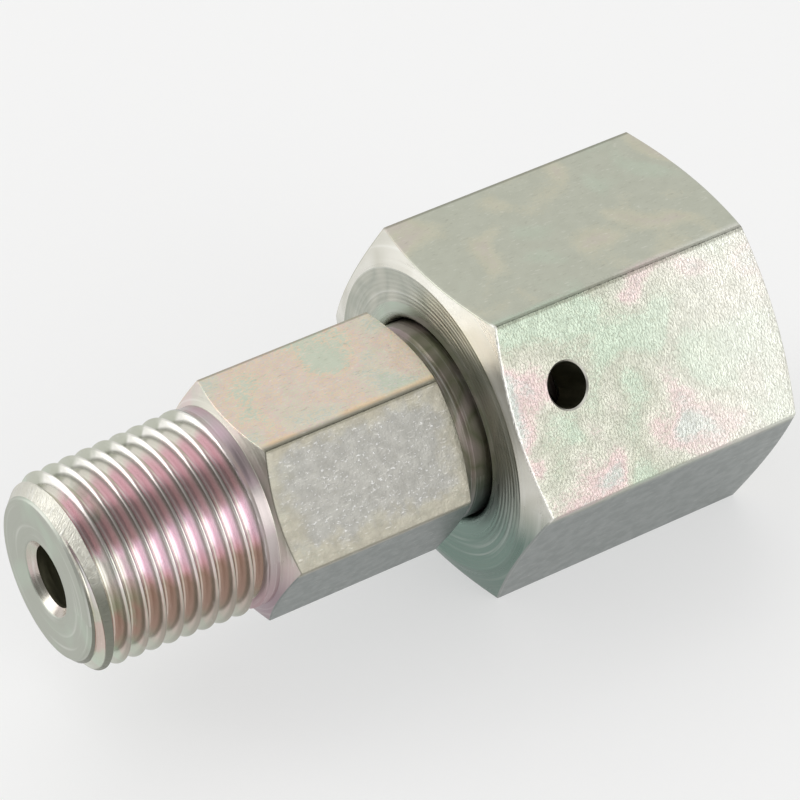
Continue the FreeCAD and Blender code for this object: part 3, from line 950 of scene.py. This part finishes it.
def lay_stud_hexagon(skin, sizes):
    """Spanner hexagon between two turned chamfers."""
    hexagon = hexagon_radius(skin.angles, sizes.hex_turn, sizes.hex_flat, sizes.hex_edge)
    band, margin = sizes.band_radius, 10 * TINY
    front = sizes.hex_start + (hexagon - band) * math.tan(sizes.front_chamfer)
    rear = sizes.hex_end - (hexagon - band) * math.tan(sizes.rear_chamfer)
    before = (front - TINY, hexagon - TINY / math.tan(sizes.front_chamfer), 0)
    after = (rear + TINY, hexagon - TINY / math.tan(sizes.rear_chamfer), 0)
    skin.chain([(sizes.hex_start - TINY, band, 0), (sizes.hex_start, band, TINY), before], "hexagon_chamfer")
    skin.chain([before, (front, hexagon, sizes.small_edge), (front + margin, hexagon, 0)], "hexagon")
    skin.chain([(rear - margin, hexagon, 0), (rear, hexagon, sizes.small_edge), after], "hexagon")
    relief = sizes.neck_radius - sizes.neck_relief
    skin.chain([after, (sizes.hex_end, band, TINY), (sizes.hex_end, relief, 0)], "hexagon_chamfer")


def lay_neck(skin, sizes, wire):
    """Relief behind the hexagon, and the neck with its half-round groove for the wire."""
    neck = sizes.neck_radius
    relief = neck - sizes.neck_relief
    relief_end = sizes.hex_end + sizes.relief_length
    half, dip = groove_ends(wire, neck)
    skin.chain(
        [
            (sizes.hex_end, relief, 0),
            (relief_end, relief, sizes.small_edge),
            (relief_end + sizes.neck_relief, neck, sizes.small_edge),
            (WIRE_X - half - TINY, neck, 0),
        ],
        "neck",
    )
    skin.arc(WIRE_X, wire.ring_radius, wire.groove_radius, -math.pi - dip, dip, GROOVE_STEPS, "neck")
    skin.row(WIRE_X + half + TINY, neck, "neck")


def lay_nose(skin, sizes):
    """Cone nose with the square groove of the seal ring."""
    cone_start = STUD_END - sizes.cone_length
    slope, edge, rim = math.tan(sizes.cone_slope), sizes.small_edge, sizes.nose_break
    groove_start = SEAL_X - sizes.seal_groove_width / 2
    groove_end = SEAL_X + sizes.seal_groove_width / 2

    def cone_at(x):
        return sizes.cone_radius - (x - cone_start) * slope

    skin.chain(
        [
            (cone_start - 2 * (sizes.neck_radius - sizes.cone_radius), sizes.neck_radius, 0),
            (cone_start - (sizes.neck_radius - sizes.cone_radius), sizes.neck_radius, edge),
            (cone_start, sizes.cone_radius, edge),
            (groove_start, cone_at(groove_start), edge),
            (groove_start, sizes.seal_groove_radius, edge),
            (groove_end, sizes.seal_groove_radius, edge),
            (groove_end, cone_at(groove_end), edge),
            (STUD_END - rim, cone_at(STUD_END - rim), edge),
            (STUD_END, cone_at(STUD_END) - rim, edge),
            (STUD_END, sizes.bore_radius + sizes.bore_break, edge),
            (STUD_END - sizes.bore_break, sizes.bore_radius, 0),
        ],
        "nose",
    )


def lay_flow_bore(skin, sizes):
    """Straight bore, from the nose back to the tip."""
    first, last = STUD_END - 2 * sizes.bore_break, STUD_START + 2 * sizes.bore_break
    for x in np.linspace(first, last, BORE_ROWS):
        skin.row(x, sizes.bore_radius, "bore")


def hook_pocket(wire, nut):
    """Closed tool for the pocket that the wire's hooked end sits in."""
    feed_angle = nut.hole_angle - math.asin(nut.hole_offset / wire.ring_radius)
    inner = wire.ring_radius - wire.bend_radius
    turn = math.asin(wire.bend_radius / inner)
    hook_angle = feed_angle + wire.hook_turn
    bend_angle = hook_angle + turn

    def around(radius, turn_angle):
        return Vector((WIRE_X, radius * math.cos(turn_angle), radius * math.sin(turn_angle)))

    lead_in = [around(wire.ring_radius, bend_angle + wire.lead_in * part) for part in (1, 0.75, 0.5, 0.25)]
    centre = around(inner, bend_angle)
    start = around(1, bend_angle) - around(0, 0)
    side = around(1, bend_angle - math.pi / 2) - around(0, 0)
    bend = [
        centre + wire.bend_radius * (math.cos(part) * start + math.sin(part) * side)
        for part in np.linspace(0, math.pi / 2 + turn, BEND_STEPS + 1)
    ]
    end = around(wire.ring_radius - wire.hook_depth - wire.pocket_clearance, hook_angle)
    return rod_tool(lead_in + bend + [end], wire.radius + wire.pocket_clearance)


def rod_tool(points, radius, sides=32):
    """Closed round rod along points that lie in one plane across the axis."""
    work = bmesh.new()
    axis = Vector((1, 0, 0))
    rings = []
    for number, point in enumerate(points):
        before, after = points[max(number - 1, 0)], points[min(number + 1, len(points) - 1)]
        outward = (after - before).normalized().cross(axis)
        ring = []
        for side in range(sides):
            turn = FULL_TURN * side / sides
            ring.append(work.verts.new(point + radius * (math.cos(turn) * axis + math.sin(turn) * outward)))
        rings.append(ring)
    return closed_tool(work, rings, "hook_pocket_tool")


def closed_tool(work, rings, name):
    """Mesh of rings joined in a row and closed by a flat end on the first and the last."""
    for lower, upper in zip(rings, rings[1:]):
        for number in range(len(lower)):
            after = (number + 1) % len(lower)
            work.faces.new((lower[number], lower[after], upper[after], upper[number]))
    work.faces.new(rings[0])
    work.faces.new(rings[-1])
    turn_outward(work)
    mesh = bpy.data.meshes.new(name)
    work.to_mesh(mesh)
    work.free()
    return mesh


def dress_tool(mesh, finishes, finish_of):
    """Gives a tool the finishes of the piece that it cuts, and each of its faces the one for the cut face."""
    for material in finishes.values():
        mesh.materials.append(material)
    names = list(finishes)
    for face in mesh.polygons:
        face.material_index = names.index(finish_of(face))


def stud_finishes(colours, sizes):
    """Finishes of the stud, from the tip to the bore. Depths are in millimetres."""
    pale, zinc, blush, mauve, leaf, straw, olive_tint_and_shade, slate, dusk_shade = tints_of(
        colours, "pale", "zinc", "blush", "mauve", "leaf", "straw", "olive_tint_and_shade", "slate", "dusk_shade"
    )
    # Painted shade: the neck, sunk between the hexagon and the nut, has a dim olive base
    neck_shade = darker(olive_tint_and_shade, 0.5)
    tip_face = {"amount": 0.3, "roughness": 0.4, "depth": 0.003, "scale": 3.0}
    countersink = {"amount": 0.5, "roughness": 0.22, "depth": 0.006, "scale": 6.0, "along_axis": True}
    band = {"amount": 0.6, "roughness": 0.34, "depth": 0.012, "scale": 7.0, "along_axis": True}
    chamfer = {"amount": 0.4, "roughness": 0.32, "depth": 0.01, "scale": 5.0}
    neck = {"amount": 0.4, "roughness": 0.36, "depth": 0.006, "scale": 5.0, "along_axis": True}
    nose = {"amount": 0.35, "roughness": 0.3, "depth": 0.005, "scale": 4.0, "along_axis": True}
    # Painted shade on the lower sides of the band, the hexagon's chamfers and the neck
    band["shade_below"] = darker(blush, 0.6)
    chamfer["shade_below"] = darker(mauve, 0.6)
    neck["shade_below"] = darker(dusk_shade, 0.6)
    return {
        "tip_face": turned_finish("turned_tip", slate, [leaf, slate, slate], **tip_face),
        "countersink": turned_finish("turned_countersink", zinc, [blush, zinc], **countersink),
        "thread": thread_finish(colours, sizes),
        "band": turned_finish("turned_band", mauve, [slate, slate, mauve], **band),
        "hexagon_chamfer": turned_finish("turned_hexagon_chamfer", pale, [blush, pale, pale], **chamfer),
        "hexagon": hexagon_finish(colours, sizes),
        "neck": turned_finish("turned_neck", neck_shade, [mauve, neck_shade, mauve], **neck),
        "nose": turned_finish("turned_nose", zinc, [straw, zinc, leaf], **nose),
        "bore": shaded_bore_finish("plated_bore", colours),
    }


# Nut


class FITTING_OT_nut(bpy.types.Operator):
    """Build the swivel nut with its turned face, wire groove, wire hole and inner thread"""

    bl_idname = "fitting.nut"
    bl_label = "Swivel nut"

    def execute(self, context):
        sizes = context.scene.nut_sizes
        finishes = nut_finishes(context.scene.finish_colours, sizes)
        skin = Profile(sector_angles(0.0, NUT_FLAT, sizes.edge), finishes)
        lay_mouth_and_face(skin, sizes)
        lay_nut_hexagon(skin, sizes)
        lay_inner_thread(skin, sizes)
        lay_neck_bore(skin, sizes, context.scene.wire_sizes)
        hole = wire_hole(sizes, finishes)
        place("nut", cut(skin.mesh("nut"), hole), "nut", "plated_nut", "swivel_nut")
        return {"FINISHED"}


def lay_mouth_and_face(skin, sizes):
    """Rounded mouth of the bore, and the front face with its turning rings."""
    start, mouth, face = NUT_START, sizes.mouth_radius, sizes.face_radius
    outer = sizes.bore_radius + mouth
    skin.arc(start + mouth, outer, mouth, -math.pi / 2, -math.pi, MOUTH_STEPS, "mouth")
    smooth = outer + sizes.smooth_width
    skin.row(start, smooth, "mouth")
    for radius in np.arange(smooth + TINY, face - TINY / 2, TINY):
        wave = (1 - math.cos(FULL_TURN * (face - radius) / sizes.ring_pitch)) / 2
        skin.row(start + sizes.ring_depth * wave, radius, "face")


def lay_nut_hexagon(skin, sizes):
    """Flats between two turned chamfers, and the face at the open end."""
    hexagon = hexagon_radius(skin.angles, 0.0, NUT_FLAT, sizes.edge)
    face, edge, margin = sizes.face_radius, sizes.chamfer_edge, 15 * TINY
    front_slope, rear_slope = math.tan(sizes.front_chamfer), math.tan(sizes.rear_chamfer)
    front = NUT_START + (hexagon - face) * front_slope
    rear = NUT_END - (hexagon - face) * rear_slope
    before = (front - TINY, hexagon - TINY / front_slope, 0)
    after = (rear + TINY, hexagon - TINY / rear_slope, 0)
    lip = (NUT_START + TINY / 3, face + TINY / 3 / front_slope, 0)
    skin.chain([(NUT_START, face, 0), lip, before], "chamfer")
    skin.chain([before, (front, hexagon, edge), (front + margin, hexagon, 0)], "flat")
    skin.chain([(rear - margin, hexagon, 0), (rear, hexagon, edge), after], "flat")
    relief = sizes.relief_radius
    skin.chain(
        [
            after,
            (NUT_END, face, sizes.small_edge),
            (NUT_END, relief, sizes.small_edge),
            (NUT_END - TINY, relief - TINY * math.tan(sizes.shoulder_slope), 0),
        ],
        "rear_face",
    )


def lay_inner_thread(skin, sizes):
    """Inner thread between its countersink and the relief behind it."""
    crest, relief, slope = sizes.crest_radius, sizes.relief_radius, math.tan(sizes.shoulder_slope)
    thread_start = NUT_END - sizes.thread_length
    first_crest = thread_start - sizes.relief_length / 2 + sizes.thread_pitch / 2

    def radius_at(x, angles):
        offset = crest_distance(x, angles, first_crest, sizes.thread_pitch)[1]
        drop = thread_drop(offset, sizes, sizes.thread_depth)
        countersink = relief - (NUT_END - x) * slope
        run_in = relief - (x - thread_start)
        return np.maximum(crest + drop, np.maximum(countersink, run_in))

    start, end = NUT_END - TINY, thread_start + TINY
    phases = thread_phases(sizes.crest_flat, sizes.thread_pitch)
    skin.helix(start, end, first_crest, sizes.thread_pitch, phases, radius_at, "inner_thread")


def lay_neck_bore(skin, sizes, wire):
    """Relief behind the thread, shoulder, and the bore with its half-round groove for the wire."""
    bore, relief = sizes.bore_radius, sizes.relief_radius
    thread_start = NUT_END - sizes.thread_length
    relief_start = thread_start - sizes.relief_length
    shoulder = relief_start - (relief - bore) / math.tan(sizes.shoulder_slope)
    half, rise = groove_ends(wire, bore)
    skin.chain(
        [
            (thread_start, relief, 0),
            (relief_start, relief, sizes.small_edge),
            (shoulder, bore, sizes.small_edge),
            (WIRE_X + half + TINY, bore, 0),
        ],
        "inside",
    )
    skin.arc(WIRE_X, wire.ring_radius, wire.groove_radius, rise, math.pi - rise, GROOVE_STEPS, "inside")
    skin.row(WIRE_X - half - TINY, bore, "inside")
    skin.row(NUT_START + sizes.mouth_radius + TINY, bore, "mouth")


def wire_hole(sizes, finishes, sides=64):
    """Closed tool for the hole in the flat: a wall in painted shade and a bright, broken rim."""
    radius, rim = sizes.hole_radius, sizes.hole_break
    past = NUT_FLAT + radius
    outline = [(sizes.bore_radius - radius / 2, radius), (NUT_FLAT - rim, radius), (past, 2 * radius + rim)]
    across = sizes.hole_angle - math.pi / 2
    outward = Vector((0, math.cos(sizes.hole_angle), math.sin(sizes.hole_angle)))
    upward = Vector((0, math.cos(across), math.sin(across)))
    foot = Vector((WIRE_X, 0, 0)) + upward * sizes.hole_offset
    work = bmesh.new()
    rings = []
    for height, reach in outline:
        ring = []
        for number in range(sides):
            turn = FULL_TURN * number / sides
            side = Vector((sizes.hole_oval, 0, 0)) * math.cos(turn) + upward * math.sin(turn)
            ring.append(work.verts.new(foot + outward * height + side * reach))
        rings.append(ring)
    mesh = closed_tool(work, rings, "wire_hole_tool")

    def finish_of(face):
        in_rim = (face.center - foot).dot(outward) > NUT_FLAT - rim
        return "chamfer" if in_rim else "hole"

    dress_tool(mesh, finishes, finish_of)
    return mesh


def nut_finishes(colours, sizes):
    """Finishes of the nut, from its mouth to the wire hole. Depths are in millimetres."""
    zinc, leaf, straw, slate, olive_tint_and_shade, teal_shade, pale, frost = tints_of(
        colours, "zinc", "leaf", "straw", "slate", "olive_tint_and_shade", "teal_shade", "pale", "frost"
    )
    # Painted shade: teal on the lower side of the mouth, the face and the chamfer
    mouth = {"amount": 0.4, "roughness": 0.3, "depth": 0.003, "scale": 4.0, "shade_below": teal_shade}
    face = {"amount": 0.5, "roughness": 0.37, "depth": 0.022, "scale": 4.0, "shade_below": teal_shade}
    chamfer = {"amount": 0.6, "roughness": 0.3, "depth": 0.006, "scale": 3.0, "shade_below": darker(teal_shade, 0.8)}
    rear = {"amount": 0.3, "roughness": 0.3, "depth": 0.008, "scale": 4.0}
    thread = {"amount": 0.4, "roughness": 0.3, "depth": 0.005, "scale": 5.0, "along_axis": True}
    inside = {"amount": 0.3, "roughness": 0.34, "depth": 0.006, "scale": 4.0, "along_axis": True}
    return {
        "mouth": turned_finish("turned_mouth", slate, [leaf, slate], **mouth),
        "face": turned_finish("turned_face", slate, [pale, slate, pale], **face),
        "chamfer": turned_finish("turned_chamfer", pale, [frost, pale], **chamfer),
        "flat": nut_flat_finish(colours, sizes),
        "rear_face": turned_finish("turned_rear_face", zinc, [zinc, straw, zinc], **rear),
        "inner_thread": turned_finish("cut_inner_thread", slate, [straw, olive_tint_and_shade, leaf], **thread),
        "inside": turned_finish("turned_inside", slate, [straw, slate, leaf], **inside),
        "hole": shaded_bore_finish("drilled_hole", colours),
    }


# Wire and seal ring


class FITTING_OT_inner_pieces(bpy.types.Operator):
    """Finish the retaining wire and the seal ring inside the fitting"""

    bl_idname = "fitting.inner_pieces"
    bl_label = "Wire and seal ring"

    def execute(self, context):
        rubber = tuple(context.scene.finish_colours.rubber)
        finishes = {
            "retaining_wire": wire_finish("drawn_wire"),
            "cone_seal_ring": rubber_finish("moulded_rubber", rubber),
        }
        for name, material in finishes.items():
            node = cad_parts[name]
            node.data.materials.clear()
            node.data.materials.append(material)
            node.data.shade_smooth()
        return {"FINISHED"}


# Stage

# Floor: how far it reaches from the axis in metres
FLOOR_REACH = 2.0

# Softboxes: direction from the fitting, distance and size in metres, and radiance
SOFTBOXES = {
    "key_softbox": ((-0.72, 0.46, 0.50), 0.32, 0.12, 1.7),
    "back_softbox": ((-0.78, 0.61, 0.12), 0.30, 0.20, 1.3),
    "front_softbox": ((0.26, -0.90, 0.34), 0.30, 0.18, 1.35),
}

# Sky: its level at the horizon and higher up, and the height at which it reaches that
HORIZON, SKY, SKY_HEIGHT = 0.72, 0.97, 0.5

# Dark patches of the sky, overhead and on the left: direction, cosines at the rim and the core, and level
DARK_PATCHES = (
    ((0.41, -0.22, 0.88), 0.82, 0.96, 0.24),
    ((-0.93, -0.26, 0.26), 0.74, 0.96, 0.26),
)

# Camera: its place in millimetres, the directions of its right, up and back, and its lens
CAMERA_PLACE = (-70.8, -146.4, 137.39)
CAMERA_AXES = ((0.84091, -0.54077, -0.02097), (0.34824, 0.51104, 0.78586), (-0.41425, -0.66814, 0.61805))
CAMERA_LENS, CAMERA_SENSOR, CAMERA_CLIP = 201.92, 36, 0.01


class FITTING_OT_stage(bpy.types.Operator):
    """Set the floor, the soft lights and the camera"""

    bl_idname = "fitting.stage"
    bl_label = "Stage"

    def execute(self, context):
        lay_floor(context.scene.finish_colours)
        set_world()
        for name, values in SOFTBOXES.items():
            softbox(name, *values)
        set_camera()
        return {"FINISHED"}


def lay_floor(colours):
    """Matt floor under the nut's lowest flat. Half of what the camera sees of it is plain white."""
    signs = ((-1, -1), (1, -1), (1, 1), (-1, 1))
    corners = [(along * FLOOR_REACH, across * FLOOR_REACH, -NUT_FLAT) for along, across in signs]
    mesh = bpy.data.meshes.new("floor")
    mesh.from_pydata(corners, [], [(0, 1, 2, 3)])
    finish = Finish("matt_floor")
    fibre = finish.noise(finish.place, 0.6)
    tone = finish.mix(finish.span(fibre, 0.2, 0.8, 0.0, 0.02), tuple(colours.floor), grey(0.7))
    mesh.materials.append(finish.shade(tone, 0.4, finish.bump(fibre, 0.01), metallic=0.0, white=0.5))
    floor = put("floor", mesh)


def set_world():
    """Plain sky, dimmer at the horizon and in two patches."""
    world = bpy.data.worlds.new("studio")
    world.use_nodes = True
    nodes = Nodes(world.node_tree)
    way = nodes.node("ShaderNodeTexCoord").outputs["Generated"]
    height = nodes.node("ShaderNodeSeparateXYZ", {0: way}).outputs["Z"]
    rise = nodes.node("ShaderNodeMapRange", {"Value": height, "From Max": SKY_HEIGHT}).outputs["Result"]
    tone = nodes.mix(rise, grey(HORIZON), grey(SKY))
    for middle, rim, core, level in DARK_PATCHES:
        near = nodes.span(nodes.dot(way, Vector(middle).normalized()), rim, core)
        tone = nodes.mix(near, tone, grey(level))
    nodes.feed(world.node_tree.nodes["Background"].inputs["Color"], tone)
    bpy.context.scene.world = world


def softbox(name, direction, distance, size, radiance):
    """Square lamp that faces the middle of the fitting."""
    lamp = bpy.data.lights.new(name, "AREA")
    lamp.shape = "SQUARE"
    lamp.size = size
    lamp.energy = radiance * math.pi * size**2
    holder = put(name, lamp)
    way = Vector(direction).normalized()
    holder.location = Vector(((STUD_START + NUT_END) / 2, 0, 0)) + way * distance
    holder.rotation_euler = way.to_track_quat("Z", "Y").to_euler()


def set_camera():
    """Camera at the place and angle that the fitting was seen from."""
    lens = bpy.data.cameras.new("camera")
    lens.sensor_width = CAMERA_SENSOR
    lens.lens = CAMERA_LENS
    lens.clip_start = CAMERA_CLIP
    camera = put("camera", lens)
    matrix = Matrix(CAMERA_AXES).transposed().to_4x4()
    matrix.translation = Vector(CAMERA_PLACE) * MM
    camera.matrix_world = matrix
    bpy.context.scene.camera = camera


# Panel and registration


class FITTING_PT_panel(bpy.types.Panel):
    """Buttons that build the fitting's pieces, and the sizes and colours that they use"""

    bl_idname = "FITTING_PT_panel"
    bl_label = "Fitting"
    bl_space_type = "VIEW_3D"
    bl_region_type = "UI"
    bl_category = "Fitting"

    def draw(self, context):
        for operator in OPERATORS:
            self.layout.operator(operator.bl_idname)
        for name, group in GROUPS.items():
            settings = self.layout.box()
            for setting in group.__annotations__:
                settings.prop(getattr(context.scene, name), setting)


GROUPS = {
    "stud_sizes": StudSizes,
    "nut_sizes": NutSizes,
    "wire_sizes": WireSizes,
    "finish_colours": FinishColours,
}
OPERATORS = (FITTING_OT_stage, FITTING_OT_stud, FITTING_OT_nut, FITTING_OT_inner_pieces)
CLASSES = tuple(GROUPS.values()) + OPERATORS + (FITTING_PT_panel,)


def register():
    for made in CLASSES:
        bpy.utils.register_class(made)
    for name, group in GROUPS.items():
        setattr(bpy.types.Scene, name, bpy.props.PointerProperty(type=group))


def unregister():
    for name in GROUPS:
        delattr(bpy.types.Scene, name)
    for made in reversed(CLASSES):
        bpy.utils.unregister_class(made)


def main():
    register()
    bpy.context.scene.view_settings.view_transform = "Standard"
    bpy.ops.fitting.stage()
    bpy.ops.fitting.stud()
    bpy.ops.fitting.nut()
    bpy.ops.fitting.inner_pieces()


if __name__ == "__main__":
    main()
